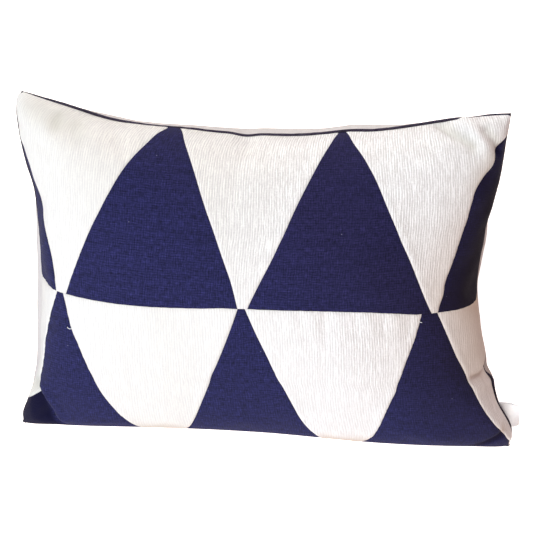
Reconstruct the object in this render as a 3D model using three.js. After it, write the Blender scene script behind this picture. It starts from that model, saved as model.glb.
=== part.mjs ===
// A filled lumbar pillow that lies on its back, in millimetres.
// X runs along the cover, Y up to its top seam and Z out of its face. Z is 0 on the surface it rests on.
// Its pieces are the filled cover, a piped seam all round and a small folded label in the right side seam.

import * as THREE from 'three';

// Cover: the size it was cut to, and where the filling leaves its corners
const coverWidth = 406;
const coverHeight = 305;
const cornerX = 0.468 * coverWidth;
const cornerY = 0.446 * coverHeight;

// Filling: the crown of each side, how square it is, and how it leans to the left and to the bottom
const faceCrown = 75;
const backCrown = 71.5;
const endFullness = 0.37;
const topFullness = 0.51;
const leftLean = 0.089;
const lowLean = 0.035;

// Rest: how far the back is pressed flat, and how softly it leaves the surface
const restDepth = 9;
const restSoftness = 4;
const seamHeight = backCrown - restDepth;

// How far the filling draws each side of the seam in, from one corner to the other
const stations = [-1, -0.82, -0.45, 0, 0.45, 0.82, 1];
const drawIn = {
  left: [0, 7, 14.5, 19, 14.5, 2.5, 0],
  right: [0, 4, 19, 27, 21, 7, 0],
  top: [0, 8, 23, 25, 18.5, 6.5, 0],
  bottom: [0, 9, 17.5, 19, 13, 6.5, 0],
};
const sidePull = 1.6;

// How far the cloth puffs out past the seam, on the face and on the back
const facePuff = { left: 0, right: 4, top: 0, bottom: 13.5 };
const backPuff = { left: 9, right: 3, top: 8, bottom: 0 };

// How far each corner ear is moved from its even place
const corners = [
  { x: -1, y: 1, right: 2, up: 0, out: 0 },
  { x: 1, y: 1, right: -7.5, up: -2.5, out: 3 },
  { x: -1, y: -1, right: -3, up: 2.5, out: -20 },
  { x: 1, y: -1, right: 3, up: 0, out: -25 },
];
const earSharpness = 4;

// A nick in the top seam
const nick = { at: -0.085, width: 0.05, depth: 2.5 };

// Main folds of the face, each from one place to another between the seams; rise is below 0 for a trough
const folds = [
  { from: [0.724, 0.965], to: [0.844, 0.827], width: 9, rise: -4.5 },
  { from: [0.88, 0.925], to: [0.951, 0.818], width: 9, rise: -4.5 },
  { from: [-0.962, -0.661], to: [-0.86, -0.95], width: 7, rise: -8 },
  { from: [-0.9, -0.56], to: [-0.77, -0.9], width: 13, rise: 3 },
  { from: [0.85, -0.96], to: [0.955, -0.861], width: 6, rise: -3 },
  { from: [-0.075, 0.985], to: [-0.05, 0.92], width: 8, rise: -4 },
  { from: [-0.9, 0.955], to: [-0.74, 0.945], width: 13, rise: -3 },
];
const foldEdge = 0.03;

// Mesh of the cover, with its rows and columns crowded towards the seams
const columns = 54;
const rows = 40;
const crowding = 0.85;

// Piping and label
const pipingDiameter = 2.4;
const pieceGap = 0.3;
const pipingSides = 8;
const pipingSteps = { along: 40, up: 28, corner: 3 };
const label = {
  low: -0.855,
  high: -0.66,
  reach: 15,
  layer: 0.9,
  slit: 0.4,
  steps: 6,
  highEnd: [15, -3.5, 1],
  lowEnd: [6, 2, -13],
};

const clamp = THREE.MathUtils.clamp;

// Value of a table of stations at place k, on a smooth curve through its rows
function alongSide(table, k) {
  const last = stations.length - 1;
  const next = stations.findIndex((place) => place > k);
  const i = next < 0 ? last - 1 : Math.max(next - 1, 0);
  const span = stations[i + 1] - stations[i];
  const f = (k - stations[i]) / span;
  const slope = (j) => {
    const low = Math.max(j - 1, 0);
    const high = Math.min(j + 1, last);
    return ((table[high] - table[low]) / (stations[high] - stations[low])) * span;
  };
  const start = (1 + 2 * f) * (1 - f) ** 2 * table[i] + f * (1 - f) ** 2 * slope(i);
  const end = f * f * (3 - 2 * f) * table[i + 1] - f * f * (1 - f) * slope(i + 1);
  return start + end;
}

// Bulge past a seam: nothing at the middle of the cover and at the seam, most just inside it
function bulge(k) {
  const n = clamp(k, 0, 1);
  return n * n * Math.sqrt(1 - n ** 8);
}

// Point of the smooth cover: x and y run from -1 to 1 between the seams, side is 1 on the face and -1 on the back
function smoothPoint(x, y, side) {
  const pullX = alongSide(x < 0 ? drawIn.left : drawIn.right, y);
  const nickDepth = nick.depth * Math.exp(-(((x - nick.at) / nick.width) ** 2));
  const pullY = y < 0 ? alongSide(drawIn.bottom, x) : alongSide(drawIn.top, x) + nickDepth;
  const fadeX = Math.max(1 - x * x, 0);
  const fadeY = Math.max(1 - y * y, 0);
  const puff = side > 0 ? facePuff : backPuff;
  const crown = side > 0 ? faceCrown : -backCrown;
  const lean = 1 - leftLean * x - lowLean * y;
  const point = new THREE.Vector3(
    x * cornerX - Math.sign(x) * pullX * Math.abs(x) ** sidePull,
    y * (cornerY - pullY),
    crown * fadeX ** endFullness * fadeY ** topFullness * lean,
  );
  point.x += (puff.right * bulge(x) - puff.left * bulge(-x)) * fadeY ** 0.7;
  point.y += puff.top * bulge(y) * fadeX ** 0.7 - puff.bottom * bulge(-y) * fadeX ** 0.4;
  for (const corner of corners) {
    const near = (clamp(corner.x * x, 0, 1) * clamp(corner.y * y, 0, 1)) ** earSharpness;
    point.add(new THREE.Vector3(corner.right, corner.up, corner.out).multiplyScalar(near));
  }
  return point;
}

// Outward direction of the smooth face at a place between the seams
function faceNormal(x, y) {
  const step = 0.004;
  const acrossX = smoothPoint(x + step, y, 1).sub(smoothPoint(x - step, y, 1));
  const acrossY = smoothPoint(x, y + step, 1).sub(smoothPoint(x, y - step, 1));
  return acrossX.cross(acrossY).normalize();
}

// Height of the folds over a point of the face
function foldRise(point) {
  let rise = 0;
  for (const fold of folds) {
    const line = new THREE.Line3(smoothPoint(...fold.from, 1), smoothPoint(...fold.to, 1));
    const nearest = line.closestPointToPoint(point, true, new THREE.Vector3());
    rise += fold.rise * Math.exp(-((nearest.distanceTo(point) / fold.width) ** 2));
  }
  return rise;
}

// Height over the rest surface, with the lowest cloth pressed flat onto it
function pressFlat(height) {
  if (height < -restSoftness) return 0;
  if (height > restSoftness) return height;
  return (height + restSoftness) ** 2 / (4 * restSoftness);
}

function coverPoint(x, y, side) {
  const point = smoothPoint(x, y, side);
  const inside = (1 - Math.abs(x)) * (1 - Math.abs(y));
  if (side > 0 && inside > 1e-6) {
    const reach = Math.min((1 - Math.max(Math.abs(x), Math.abs(y))) / foldEdge, 1);
    point.addScaledVector(faceNormal(x, y), foldRise(point) * reach);
  }
  point.z = pressFlat(point.z + seamHeight);
  return point;
}

// Place of line i of n between the seams, with the lines closer together near the seams
function crowded(i, n) {
  const k = (2 * i) / n - 1;
  return crowding * Math.sin((k * Math.PI) / 2) + (1 - crowding) * k;
}

function indexedGeometry(points, triangles) {
  const geometry = new THREE.BufferGeometry();
  geometry.setAttribute('position', new THREE.Float32BufferAttribute(points.flatMap((p) => p.toArray()), 3));
  geometry.setIndex(triangles.flat());
  geometry.computeVertexNormals();
  return geometry;
}

// The filled cover: two grids that share their rim, which is the seam
function cushionGeometry() {
  const points = [];
  const grid = { 1: [], [-1]: [] };
  for (const side of [1, -1]) {
    for (let j = 0; j <= rows; j += 1) {
      for (let i = 0; i <= columns; i += 1) {
        const onSeam = i === 0 || j === 0 || i === columns || j === rows;
        const key = j * (columns + 1) + i;
        if (side < 0 && onSeam) {
          grid[side][key] = grid[1][key];
        } else {
          grid[side][key] = points.length;
          points.push(coverPoint(crowded(i, columns), crowded(j, rows), side));
        }
      }
    }
  }
  const triangles = [];
  for (const side of [1, -1]) {
    for (let j = 0; j < rows; j += 1) {
      for (let i = 0; i < columns; i += 1) {
        const at = (a, b) => grid[side][(j + b) * (columns + 1) + i + a];
        const towardsCorner = i < columns / 2 === j < rows / 2;
        const pair = towardsCorner
          ? [[at(0, 0), at(1, 0), at(1, 1)], [at(0, 0), at(1, 1), at(0, 1)]]
          : [[at(0, 0), at(1, 0), at(0, 1)], [at(1, 0), at(1, 1), at(0, 1)]];
        triangles.push(...pair.map((triangle) => (side > 0 ? triangle : triangle.reverse())));
      }
    }
  }
  return indexedGeometry(points, triangles);
}

// Place on the seam, with the direction out of it and the direction from back to face
function seamPlace(x, y, stepX, stepY) {
  const inset = 0.985;
  const point = coverPoint(x, y, 1);
  const along = coverPoint(clamp(x + stepX, -1, 1), clamp(y + stepY, -1, 1), 1);
  along.sub(coverPoint(clamp(x - stepX, -1, 1), clamp(y - stepY, -1, 1), 1));
  const insideX = stepX === 0 ? x * inset : clamp(x, -inset, inset);
  const insideY = stepY === 0 ? y * inset : clamp(y, -inset, inset);
  const backToFace = coverPoint(insideX, insideY, 1).sub(coverPoint(insideX, insideY, -1));
  const out = along.clone().cross(backToFace).normalize();
  return { point, out, up: out.clone().cross(along).normalize() };
}

// The seam all round, starting at the lower left corner and running to the right
function seamPlaces() {
  const sides = [
    { at: (k) => [k, -1], step: [0.01, 0], steps: pipingSteps.along },
    { at: (k) => [1, k], step: [0, 0.01], steps: pipingSteps.up },
    { at: (k) => [-k, 1], step: [-0.01, 0], steps: pipingSteps.along },
    { at: (k) => [-1, -k], step: [0, -0.01], steps: pipingSteps.up },
  ];
  const runs = sides.map(({ at, step, steps }) => {
    const run = [];
    for (let i = 0; i <= steps; i += 1) run.push(seamPlace(...at(crowded(i, steps)), ...step));
    return run;
  });
  return runs.flatMap((run, n) => {
    const end = run[run.length - 1];
    const start = runs[(n + 1) % runs.length][0];
    const fan = [];
    for (let i = 1; i <= pipingSteps.corner; i += 1) {
      const turn = i / (pipingSteps.corner + 1);
      const out = end.out.clone().lerp(start.out, turn).normalize();
      const up = end.up.clone().lerp(start.up, turn);
      up.addScaledVector(out, -up.dot(out)).normalize();
      fan.push({ point: end.point, out, up });
    }
    return [...run, ...fan];
  });
}

// The piping: a round cord that follows the seam and closes on itself
function pipingGeometry() {
  const radius = pipingDiameter / 2;
  const offset = radius + 2 * pieceGap;
  const places = seamPlaces();
  const points = [];
  const triangles = [];
  places.forEach(({ point, out, up }, n) => {
    const centre = point.clone().addScaledVector(out, offset);
    const nextRing = ((n + 1) % places.length) * pipingSides;
    for (let s = 0; s < pipingSides; s += 1) {
      const turn = (2 * Math.PI * s) / pipingSides;
      const spoke = out.clone().multiplyScalar(Math.cos(turn)).addScaledVector(up, Math.sin(turn));
      points.push(centre.clone().addScaledVector(spoke, radius));
      const here = n * pipingSides + s;
      const besideHere = n * pipingSides + ((s + 1) % pipingSides);
      const ahead = nextRing + s;
      const besideAhead = nextRing + ((s + 1) % pipingSides);
      triangles.push([here, ahead, besideAhead], [here, besideAhead, besideHere]);
    }
  });
  return indexedGeometry(points, triangles);
}

// Section of the label across its layers: x runs from the seam, at 0, to the fold, at 1
function labelSection() {
  const half = label.layer + label.slit / 2;
  const slitEnd = 1 - label.layer / label.reach;
  const shoulder = 1 - (half / label.reach) * 0.6;
  const bends = [0, 0.25, 0.5, 0.75];
  const outline = [
    ...bends.map((x) => [x, -half]), [shoulder, -half], [1, -half * 0.4],
    [1, half * 0.4], [shoulder, half], ...bends.map((x) => [x, half]).reverse(),
    ...bends.map((x) => [x, label.slit / 2]), [slitEnd, label.slit / 2],
    [slitEnd, -label.slit / 2], ...bends.map((x) => [x, -label.slit / 2]).reverse(),
  ];
  return new THREE.Shape(outline.map(([x, y]) => new THREE.Vector2(x, y)));
}

// The label: a tape folded once, whose two layers leave the seam a little apart and curve to its back
function labelGeometry() {
  const options = { depth: 1, steps: label.steps, bevelEnabled: false };
  const geometry = new THREE.ExtrudeGeometry(labelSection(), options);
  const start = pipingDiameter + 3 * pieceGap;
  const ends = [label.low, label.high].map((y) => seamPlace(1, y, 0, 0.01).point);
  const edge = ends[1].clone().sub(ends[0]);
  const place = geometry.attributes.position;
  for (let i = 0; i < place.count; i += 1) {
    const along = place.getZ(i);
    const seam = seamPlace(1, THREE.MathUtils.lerp(label.low, label.high, along), 0, 0.01);
    const base = seam.point.clone().addScaledVector(seam.out, start);
    const middle = base.clone().addScaledVector(seam.out, label.reach / 2);
    const fold = new THREE.Vector3(...label.lowEnd).lerp(new THREE.Vector3(...label.highEnd), along).add(base);
    const curve = new THREE.QuadraticBezierCurve3(base, middle, fold);
    const point = curve.getPoint(place.getX(i));
    const thickness = edge.clone().cross(curve.getTangent(place.getX(i))).normalize();
    point.addScaledVector(thickness, place.getY(i));
    place.setXYZ(i, point.x, point.y, point.z);
  }
  geometry.computeVertexNormals();
  return geometry;
}

function namedMesh(name, geometry, colour, roughness) {
  const mesh = new THREE.Mesh(geometry, new THREE.MeshStandardMaterial({ color: colour, roughness, metalness: 0 }));
  mesh.name = name;
  return mesh;
}

const pillow = new THREE.Group();
pillow.add(namedMesh('cushion', cushionGeometry(), 0xf3f1ec, 0.92));
pillow.add(namedMesh('edge_piping', pipingGeometry(), 0x2a2844, 0.85));
pillow.add(namedMesh('side_label', labelGeometry(), 0xf4f4f6, 0.7));

export default pillow;
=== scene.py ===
import math

import bpy
import numpy as np
from mathutils import Matrix, Vector, noise
from mathutils.geometry import delaunay_2d_cdt


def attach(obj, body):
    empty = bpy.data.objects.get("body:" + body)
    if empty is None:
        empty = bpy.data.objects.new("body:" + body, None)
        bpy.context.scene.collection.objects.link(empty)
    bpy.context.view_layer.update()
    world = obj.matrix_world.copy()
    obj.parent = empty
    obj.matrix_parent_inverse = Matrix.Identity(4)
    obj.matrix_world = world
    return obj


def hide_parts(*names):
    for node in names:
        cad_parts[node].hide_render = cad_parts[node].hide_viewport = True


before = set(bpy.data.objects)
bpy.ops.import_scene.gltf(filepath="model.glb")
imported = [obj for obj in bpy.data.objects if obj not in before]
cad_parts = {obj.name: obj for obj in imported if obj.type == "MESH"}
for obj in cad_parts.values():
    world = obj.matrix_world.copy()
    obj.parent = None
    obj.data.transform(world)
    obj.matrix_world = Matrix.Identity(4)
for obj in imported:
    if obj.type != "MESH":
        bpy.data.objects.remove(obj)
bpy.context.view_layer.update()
bpy.ops.object.select_all(action="DESELECT")
mm = 0.001
print("frame loaded:", ", ".join(sorted(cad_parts)))


# Camera: it looks down on the face, a little from the right and from above the top seam
cameraSet = {
    "yaw": 5.631,
    "elevation": 15.11,
    "roll": -0.876,
    "distance": 1.94424,
    "target": (0.004156, 0.004626, 0.0625),
    "lens": 169.72,
    "sensor": 36,
}


def turned(degrees, axis):
    return Matrix.Rotation(math.radians(degrees), 4, axis)


def addCamera():
    yaw, elevation, roll = (cameraSet[name] for name in ("yaw", "elevation", "roll"))
    turn = turned(yaw, "Y") @ turned(-elevation, "X") @ turned(-roll, "Z")
    place = Vector(cameraSet["target"]) + turn.col[2].xyz * cameraSet["distance"]
    bpy.ops.object.camera_add()
    camera = bpy.context.object
    camera.name = "portraitCamera"
    camera.data.lens = cameraSet["lens"]
    camera.data.sensor_width = cameraSet["sensor"]
    camera.matrix_world = Matrix.Translation(place) @ turn
    bpy.context.scene.camera = camera


addCamera()
print("camera set")


# Form of the filled cover, in millimetres: x and y run from -1 to 1 between the seams
stations = np.array([-1, -0.82, -0.45, 0, 0.45, 0.82, 1])
coverForm = {
    "width": 406,
    "height": 305,
    "cornerX": 0.468 * 406,
    "cornerY": 0.446 * 305,
    "faceCrown": 75,
    "backCrown": 71.5,
    "endFullness": 0.37,
    "topFullness": 0.51,
    "leftLean": 0.089,
    "lowLean": 0.035,
    "restDepth": 9,
    "restSoftness": 4,
    "sidePull": 1.6,
    "drawIn": {
        "left": [0, 7, 14.5, 19, 14.5, 2.5, 0],
        "right": [0, 4, 19, 27, 21, 7, 0],
        "top": [0, 8, 23, 26.2, 19.4, 6.5, 0],
        "bottom": [0, 9, 17.5, 19, 13, 6.5, 0],
    },
    "facePuff": {"left": 0, "right": 4, "top": 0, "bottom": 13.5},
    "backPuff": {"left": 9, "right": 3, "top": 9.5, "bottom": 0},
    # corner x and y, then how far the ear is moved right, up and out
    "corners": [
        (-1, 1, 2, 0, 0),
        (1, 1, -7.5, -2.5, 3),
        (-1, -1, -3, 2.5, -20),
        (1, -1, 3, 0, -25),
    ],
    "earSharpness": 4,
    "nick": {"at": -0.085, "width": 0.05, "depth": 2.5},
    # finer reach outwards of the two short sides: the seam itself, and each panel's rim beside it
    "left": {
        "at": [-1, -0.9, -0.82, -0.7, -0.6, -0.45, -0.2, 0, 0.2, 0.45, 0.6, 0.82, 0.92, 0.97, 1],
        "seam": [-1, 2.8, 2.2, -0.5, -2.2, -2.5, 0.4, 1.7, 2.2, 1.3, 3.2, 2.9, 3.2, 2.2, -1.2],
        "face": [0, 0, 0, 0, 0, -1, -2.5, -3, -3, -3, -3, -2, 0, 0, 0],
        "back": [0, 0, 0, 2, 4, 6, 6.5, 6, 5, 3.5, 2, 0, 0, 0, 0],
    },
    "right": {
        "at": [
            -1, -0.9, -0.82, -0.7, -0.6, -0.55, -0.5, -0.45, -0.3, -0.15, 0, 0.2, 0.35,
            0.45, 0.6, 0.82, 1,
        ],
        "seam": [-2, 3.0, 2.2, -0.8, -0.4, 0, -2.6, -2.5, -1.5, -1, -1.2, 0, 0.4, 2, 2.2, -0.4, 0],
        "face": [0, 0, 0, 0, 0, 0, 0.2, 1.5, 3, 2.2, 0.3, -0.2, 0.1, 0.5, 0, 0, 0],
        "back": [0, 0, -0.6, 0.4, 2.0, 2.2, 2.8, 3.4, 1.4, 0.6, 0.6, 3.0, 2.2, 1, 0, 0, 0],
    },
    "top": {
        "at": [
            -1, -0.94, -0.86, -0.77, -0.68, -0.6, -0.52, -0.43, -0.31, -0.19, -0.09, 0,
            0.1, 0.2, 0.33, 0.43, 0.6, 0.84, 0.9, 1,
        ],
        "seam": [
            1.2, 0.7, -0.2, -1.3, -2.1, -1.8, -0.1, 1.2, 1.6, 0.6, 1.1, -0.2,
            -0.7, -0.3, 0.8, -0.4, 0, 0.5, 0.3, -0.5,
        ],
        "back": [0, 0, 0, 0, 0, 0, -1.2, -1.6, -0.7, 0, 1, 1.8, 0.8, 1, 1.2, 2, 0, 0, 0, 0],
    },
    "seamSharpness": 14,
    "rimSharpness": 24,
}
halfWidth = coverForm["width"] / 2
halfHeight = coverForm["height"] / 2
seamHeight = coverForm["backCrown"] - coverForm["restDepth"]


def unit(vectors):
    return vectors / np.linalg.norm(vectors, axis=-1, keepdims=True)


# Points of the flat cloth from their two coordinates, either of which may be one number
def pairs(u, v):
    return np.stack(np.broadcast_arrays(u, v), 1)


def smoothStep(value):
    k = np.clip(value, 0, 1)
    return k * k * (3 - 2 * k)


def smoothTable(places, values, at):
    places = np.asarray(places, float)
    values = np.asarray(values, float)
    last = len(places) - 1
    i = np.clip(np.searchsorted(places, at, side="right") - 1, 0, last - 1)
    span = places[i + 1] - places[i]
    f = (at - places[i]) / span

    def slope(j):
        low = np.maximum(j - 1, 0)
        high = np.minimum(j + 1, last)
        return (values[high] - values[low]) / (places[high] - places[low]) * span

    start = (1 + 2 * f) * (1 - f) ** 2 * values[i] + f * (1 - f) ** 2 * slope(i)
    end = f * f * (3 - 2 * f) * values[i + 1] - f * f * (1 - f) * slope(i + 1)
    return start + end


def bulge(k):
    n = np.clip(k, 0, 1)
    return n * n * np.sqrt(1 - n ** 8)


# Finer reach outwards near one side of the seam
def sideReach(reach, panel, along, at):
    rim = along ** coverForm["rimSharpness"]
    out = smoothTable(reach["at"], reach["seam"], at) * along ** coverForm["seamSharpness"]
    if panel in reach:
        out = out + smoothTable(reach["at"], reach[panel], at) * 2 * rim * np.sqrt(1 - rim * rim)
    return out


def smoothPoint(x, y, side):
    form = coverForm
    nick = form["nick"]
    draw = form["drawIn"]
    panel = "face" if side > 0 else "back"
    puff = form[panel + "Puff"]
    pullX = np.where(x < 0, smoothTable(stations, draw["left"], y), smoothTable(stations, draw["right"], y))
    nickDepth = nick["depth"] * np.exp(-((x - nick["at"]) / nick["width"]) ** 2)
    if side < 0:
        nickDepth = nickDepth * np.clip(y, 0, 1) ** 30
    topPull = smoothTable(stations, draw["top"], x) + nickDepth
    pullY = np.where(y < 0, smoothTable(stations, draw["bottom"], x), topPull)
    fadeX = np.maximum(1 - x * x, 0)
    fadeY = np.maximum(1 - y * y, 0)
    placeX = x * form["cornerX"] - np.sign(x) * pullX * np.abs(x) ** form["sidePull"]
    placeX = placeX + (puff["right"] * bulge(x) - puff["left"] * bulge(-x)) * fadeY ** 0.7
    placeY = y * (form["cornerY"] - pullY) + puff["top"] * bulge(y) * fadeX ** 0.7
    placeY = placeY - puff["bottom"] * bulge(-y) * fadeX ** 0.4
    placeZ = side * form[panel + "Crown"] * fadeX ** form["endFullness"] * fadeY ** form["topFullness"]
    placeZ = placeZ * (1 - form["leftLean"] * x - form["lowLean"] * y)
    for way, name in ((-1, "left"), (1, "right")):
        placeX = placeX + way * sideReach(form[name], panel, np.clip(way * x, 0, 1), y)
    placeY = placeY + sideReach(form["top"], panel, np.clip(y, 0, 1), x)
    for cornerX, cornerY, right, up, out in form["corners"]:
        near = (np.clip(cornerX * x, 0, 1) * np.clip(cornerY * y, 0, 1)) ** form["earSharpness"]
        placeX = placeX + right * near
        placeY = placeY + up * near
        placeZ = placeZ + out * near
    return np.stack([placeX, placeY, placeZ], -1)


def outwardAt(x, y, side):
    step = 0.004
    inside = 1 - step
    x = np.clip(x, -inside, inside)
    y = np.clip(y, -inside, inside)
    acrossX = smoothPoint(x + step, y, side) - smoothPoint(x - step, y, side)
    acrossY = smoothPoint(x, y + step, side) - smoothPoint(x, y - step, side)
    return unit(np.cross(acrossX, acrossY) * side)


def pressFlat(height):
    soft = coverForm["restSoftness"]
    eased = (height + soft) ** 2 / (4 * soft)
    return np.where(height < -soft, 0, np.where(height > soft, height, eased))


# Where each place of the flat cloth lies on the filled form
class ClothMap:
    steps = 241

    def __init__(self, side):
        self.side = side
        lines = np.sin(np.linspace(-np.pi / 2, np.pi / 2, self.steps))
        even = np.linspace(-1, 1, self.steps)
        place = smoothPoint(*np.meshgrid(lines, lines), side)
        self.findX = self.inverse(place, lines, even)
        self.findY = self.inverse(place.transpose(1, 0, 2), lines, even)

    def inverse(self, place, lines, even):
        rows = []
        for row in place:
            length = np.linalg.norm(np.diff(row, axis=0), axis=1).cumsum()
            length = np.concatenate([[0], length])
            rows.append(np.interp(even, 2 * length / length[-1] - 1, lines))
        return np.array(rows)

    def lookUp(self, table, cross, along):
        last = self.steps - 1
        row = np.clip((np.arcsin(np.clip(cross, -1, 1)) / np.pi + 0.5) * last, 0, last)
        column = np.clip((along + 1) / 2 * last, 0, last)
        j = np.minimum(row.astype(int), last - 1)
        i = np.minimum(column.astype(int), last - 1)
        rowPart = row - j
        columnPart = column - i
        low = table[j, i] * (1 - columnPart) + table[j, i + 1] * columnPart
        high = table[j + 1, i] * (1 - columnPart) + table[j + 1, i + 1] * columnPart
        return low * (1 - rowPart) + high * rowPart

    def between(self, cloth):
        s = cloth[:, 0] / halfWidth
        t = cloth[:, 1] / halfHeight
        x, y = s, t
        for _ in range(10):
            x = self.lookUp(self.findX, y, s)
            y = self.lookUp(self.findY, x, t)
        return x, y


faceMap = ClothMap(1)
backMap = ClothMap(-1)
print("cover form ready")


# Pieced front, in millimetres of flat cloth from its middle
patchwork = {
    # the seam between the two rows of triangles wanders a little
    "middleSeam": {
        "at": [
            -203, -189, -183, -171, -159, -147, -111, -75, -51, -27, -15, -4, 9,
            39, 63, 87, 99, 111, 125, 135, 147, 159, 171, 183, 203,
        ],
        "rise": [
            -4, -3, -1.6, -0.7, -1.4, -2.1, -2.2, -1.9, -1.1, 0.6, 2.0, 2.0, 1.4,
            1.4, 0.4, -0.1, -1.2, -2.4, -4.0, -3.9, -3.3, -2.3, -0.6, 0.4, 1.3,
        ],
    },
    # each patch seam from the middle seam to the edge: place along, and distance from the middle
    "upper": [
        [
            (-153.5, 0), (-156.2, 14), (-159.2, 25), (-164.1, 35), (-168.3, 45), (-171.7, 57),
            (-177, 67), (-182.6, 76), (-185, 86), (-188.8, 98), (-202.5, 116), (-204, 118),
        ],
        [
            (-142, 0), (-133.7, 20), (-125.8, 40), (-118.2, 60), (-108.2, 80), (-98.5, 100),
            (-88.7, 120), (-83, 135), (-78, 152.5),
        ],
        [
            (-6.2, 0), (-11.1, 20), (-19.4, 40), (-28.5, 60), (-36, 80), (-43.2, 100),
            (-51.3, 120), (-58.7, 135), (-68.4, 152.5),
        ],
        [
            (-0.4, 0), (8.8, 20), (17.7, 40), (25, 60), (33.5, 80), (43, 100),
            (52.6, 120), (58.8, 135), (62.2, 152.5),
        ],
        [
            (136, 0), (127.6, 20), (118.4, 40), (107.9, 60), (99.2, 80), (91.8, 100),
            (83.3, 120), (75.4, 135), (68.4, 152.5),
        ],
        [
            (143.8, 0), (147.3, 10), (148.8, 20), (155.1, 40), (160.4, 60), (165.1, 80),
            (167.8, 90), (173.9, 100), (182, 110), (186.2, 119), (192.6, 130), (204, 136),
        ],
    ],
    "lower": [
        [
            (-151.5, 0), (-156, 10), (-161.1, 20), (-165.2, 30), (-169.7, 44), (-169.4, 50), (-168.4, 55),
            (-173.5, 65), (-175.7, 74), (-178.7, 85), (-185.5, 98), (-192, 111), (-204, 121),
        ],
        [
            (-146.8, 0), (-143.1, 10), (-140.2, 20), (-137, 30), (-132.5, 40), (-124.1, 60),
            (-116.2, 80), (-105.8, 100), (-96.7, 115), (-90, 130), (-82, 152.5),
        ],
        [
            (-7.5, 0), (-15.2, 20), (-22.9, 40), (-30.7, 60), (-38.3, 80), (-46, 100),
            (-53.6, 120), (-60.3, 135), (-68, 152.5),
        ],
        [
            (-0.8, 0), (6.4, 20), (14.3, 40), (22.3, 60), (29.1, 80), (35, 100),
            (43.1, 120), (55, 152.5),
        ],
        [
            (131, 0), (124.2, 20), (116.5, 40), (109.9, 60), (101, 80), (91.9, 100),
            (82.3, 120), (74, 137), (68, 152.5),
        ],
        [
            (140.8, 0), (148.2, 20), (156, 40), (161.6, 50), (166.4, 60), (172.3, 80),
            (179.4, 100), (182.9, 110), (188.5, 120), (192.1, 130), (198.4, 140), (202.4, 152.5),
        ],
    ],
    "groove": {"depth": 0.5, "width": 0.9},
    "allowance": {"width": 6, "height": 0.3, "slope": 2.4},
    # rows of points beside every seam, and how far points keep from others
    "rows": [0.9, 2.0],
    "rowsApart": 0.8,
    "fieldApart": 1.35,
    "backFieldApart": 1.45,
    "pointGap": 2.1,
    "backPointGap": 3.2,
}


def middleSeam(u):
    seam = patchwork["middleSeam"]
    return smoothTable(seam["at"], seam["rise"], np.asarray(u, float))


# Place along the cloth of a patch seam at a distance from the middle, straight on past its ends
def patchSeamAt(path, drop):
    places, drops = zip(*path)
    inside = smoothTable(drops, places, np.clip(drop, drops[0], drops[-1]))
    startSlope = (places[1] - places[0]) / (drops[1] - drops[0])
    endSlope = (places[-1] - places[-2]) / (drops[-1] - drops[-2])
    before = np.minimum(drop - drops[0], 0) * startSlope
    after = np.maximum(drop - drops[-1], 0) * endSlope
    return inside + before + after


# Each patch seam as evenly spaced points on the flat cloth, from the middle seam to the edge
def patchSeamRuns(gap):
    runs = []
    for up, seams in ((1, patchwork["upper"]), (-1, patchwork["lower"])):
        for path in seams:
            first = 0
            for _ in range(4):
                first = up * float(middleSeam(patchSeamAt(path, first)))
            drop = np.linspace(first, halfHeight, 1200)
            u = patchSeamAt(path, drop)
            inside = np.abs(u) < halfWidth
            last = len(u) if inside.all() else int(np.argmin(inside)) + 1
            line = pairs(np.clip(u[:last], -halfWidth, halfWidth), up * drop[:last])
            length = np.concatenate([[0], np.linalg.norm(np.diff(line, axis=0), axis=1).cumsum()])
            at = np.linspace(0, length[-1], int(round(length[-1] / gap)) + 1)
            runs.append(np.stack([np.interp(at, length, line[:, k]) for k in (0, 1)], 1))
    return runs


def pathDistance(points, path):
    best = np.full(len(points), np.inf)
    along = np.zeros(len(points))
    across = np.zeros(len(points))
    path = np.asarray(path, float)
    lengths = np.linalg.norm(np.diff(path, axis=0), axis=1)
    whole = lengths.sum()
    before = 0
    for a, b, length in zip(path[:-1], path[1:], lengths):
        step = b - a
        f = np.clip(((points - a) @ step) / length ** 2, 0, 1)
        away = points - (a + f[:, None] * step)
        distance = np.linalg.norm(away, axis=1)
        closer = distance < best
        best = np.where(closer, distance, best)
        along = np.where(closer, (before + f * length) / whole, along)
        across = np.where(closer, np.sign(step[0] * away[:, 1] - step[1] * away[:, 0]), across)
        before += length
    return best, along, across


# Points of the panel: outline and seams first, rows beside them, then an even field between
class PanelPoints:
    cell = 1.5

    def __init__(self):
        self.points = []
        self.edges = []
        self.cells = {}

    def cellOf(self, p):
        return int(p[0] // self.cell), int(p[1] // self.cell)

    def keep(self, p):
        self.cells.setdefault(self.cellOf(p), []).append(p)
        self.points.append((float(p[0]), float(p[1])))

    def isFree(self, p, gap):
        ci, cj = self.cellOf(p)
        for i in (ci - 1, ci, ci + 1):
            for j in (cj - 1, cj, cj + 1):
                for q in self.cells.get((i, j), ()):
                    if (q[0] - p[0]) ** 2 + (q[1] - p[1]) ** 2 < gap * gap:
                        return False
        return True

    def addRun(self, run):
        first = len(self.points)
        for p in run:
            self.keep(p)
        for i in range(len(run) - 1):
            self.edges.append((first + i, first + i + 1))

    def addLoose(self, points, gap):
        for p in points:
            if abs(p[0]) < halfWidth - 0.5 and abs(p[1]) < halfHeight - 0.5 and self.isFree(p, gap):
                self.keep(p)


def evenRun(low, high, gap, needed=()):
    count = int(round((high - low) / gap))
    places = [p for p in np.linspace(low, high, count + 1)]
    needed = sorted(needed)
    inner = [p for p in places[1:-1] if all(abs(p - n) > 0.55 * gap for n in needed)]
    return np.array(sorted([low, high, *inner, *needed]))


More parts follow.
